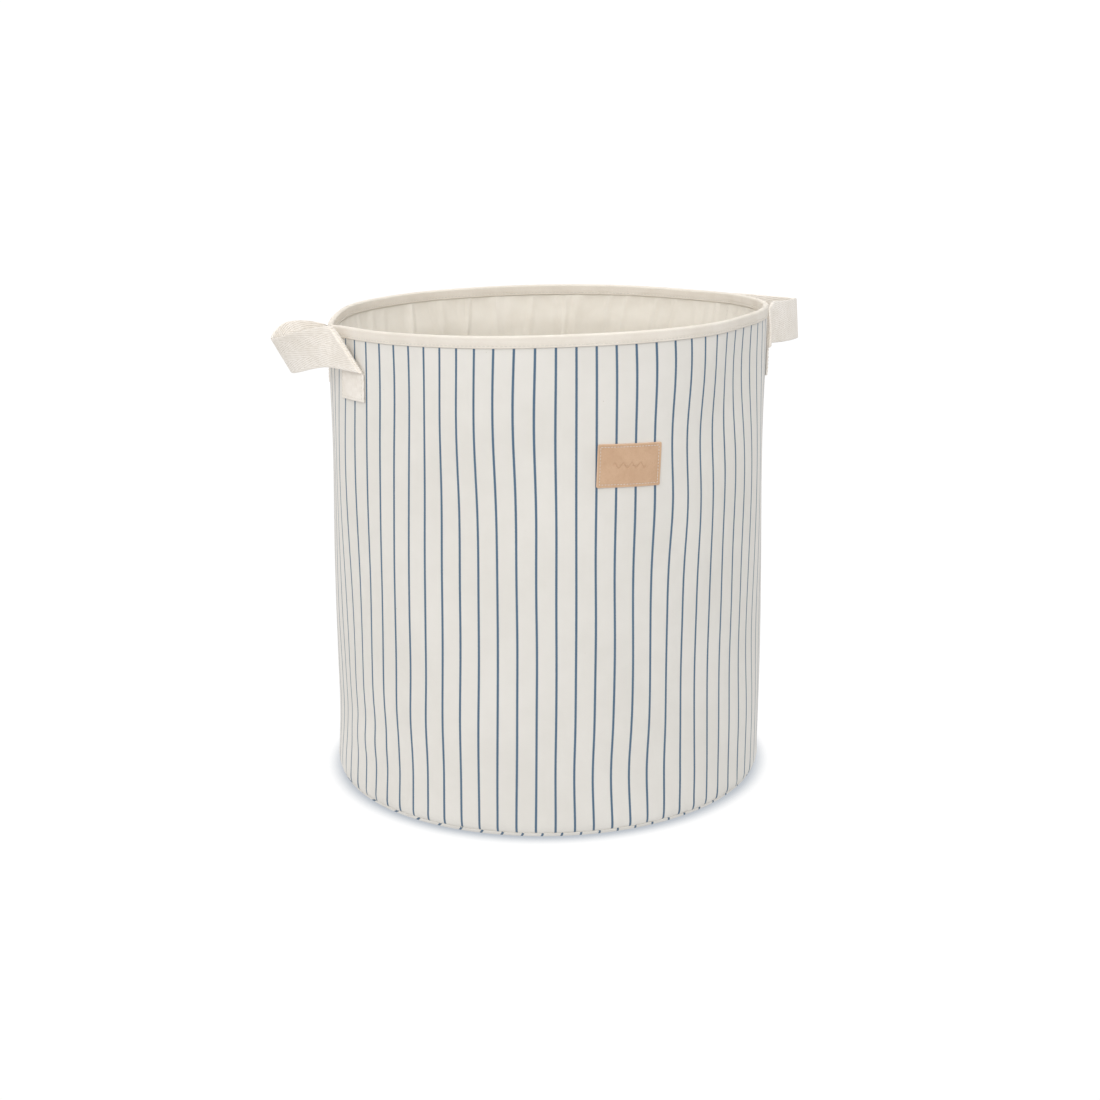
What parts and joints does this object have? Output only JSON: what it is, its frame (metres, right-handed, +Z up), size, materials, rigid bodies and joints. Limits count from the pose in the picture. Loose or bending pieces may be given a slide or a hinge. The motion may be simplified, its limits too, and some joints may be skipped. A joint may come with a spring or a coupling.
{
  "type": "fabric storage bin",
  "caption": "Round padded fabric bin with a bound rim, cotton lining, webbing handles on opposite sides and a small leather label.",
  "frame": {"origin": "middle of the base on the floor", "axes": "+Z up; front, with the label, at -Y; handles at -X and +X"},
  "size_m": [0.5008, 0.403, 0.432],
  "materials": {
    "striped_canvas": "off-white cotton canvas with thin slate-blue woven stripes",
    "lining_cotton": "plain natural cotton",
    "wadding": "soft white wadding",
    "binding_tape": "natural cotton tape",
    "webbing": "natural cotton herringbone webbing",
    "sewing_thread": "natural sewing thread",
    "label_leather": "undyed tan leather"
  },
  "bodies": {
    "bin": {"outer_side_panel": "striped_canvas", "outer_base_panel": "striped_canvas", "wall_padding": "wadding", "base_padding": "wadding", "lining_side": "lining_cotton", "lining_base": "lining_cotton", "rim_binding": "binding_tape", "rim_stitching": "sewing_thread", "base_seam_stitching": "sewing_thread", "side_seam_stitching": "sewing_thread", "lining_seam_stitching": "sewing_thread", "leather_label": "label_leather", "label_stitching": "sewing_thread", "right_handle_front_end": "webbing", "right_handle_rear_end": "webbing", "right_handle_stitching": "sewing_thread", "left_handle_front_end": "webbing", "left_handle_rear_end": "webbing", "left_handle_stitching": "sewing_thread"},
    "left_handle": {"left_handle_loop": "webbing"},
    "right_handle": {"right_handle_loop": "webbing"}
  },
  "joints": [
    {"name": "left_handle_swing", "type": "hinge", "parent": "bin", "child": "left_handle", "pos_m": [-0.2, 0, 0.4115], "axis": [0, 1, 0], "range_deg": [-30, 85], "stiffness_Nm_per_rad": 0.03, "springref_deg": 0.63},
    {"name": "right_handle_swing", "type": "hinge", "parent": "bin", "child": "right_handle", "pos_m": [0.2, 0, 0.4115], "axis": [0, -1, 0], "range_deg": [-45, 80], "stiffness_Nm_per_rad": 0.03, "springref_deg": 0.63}
  ]
}
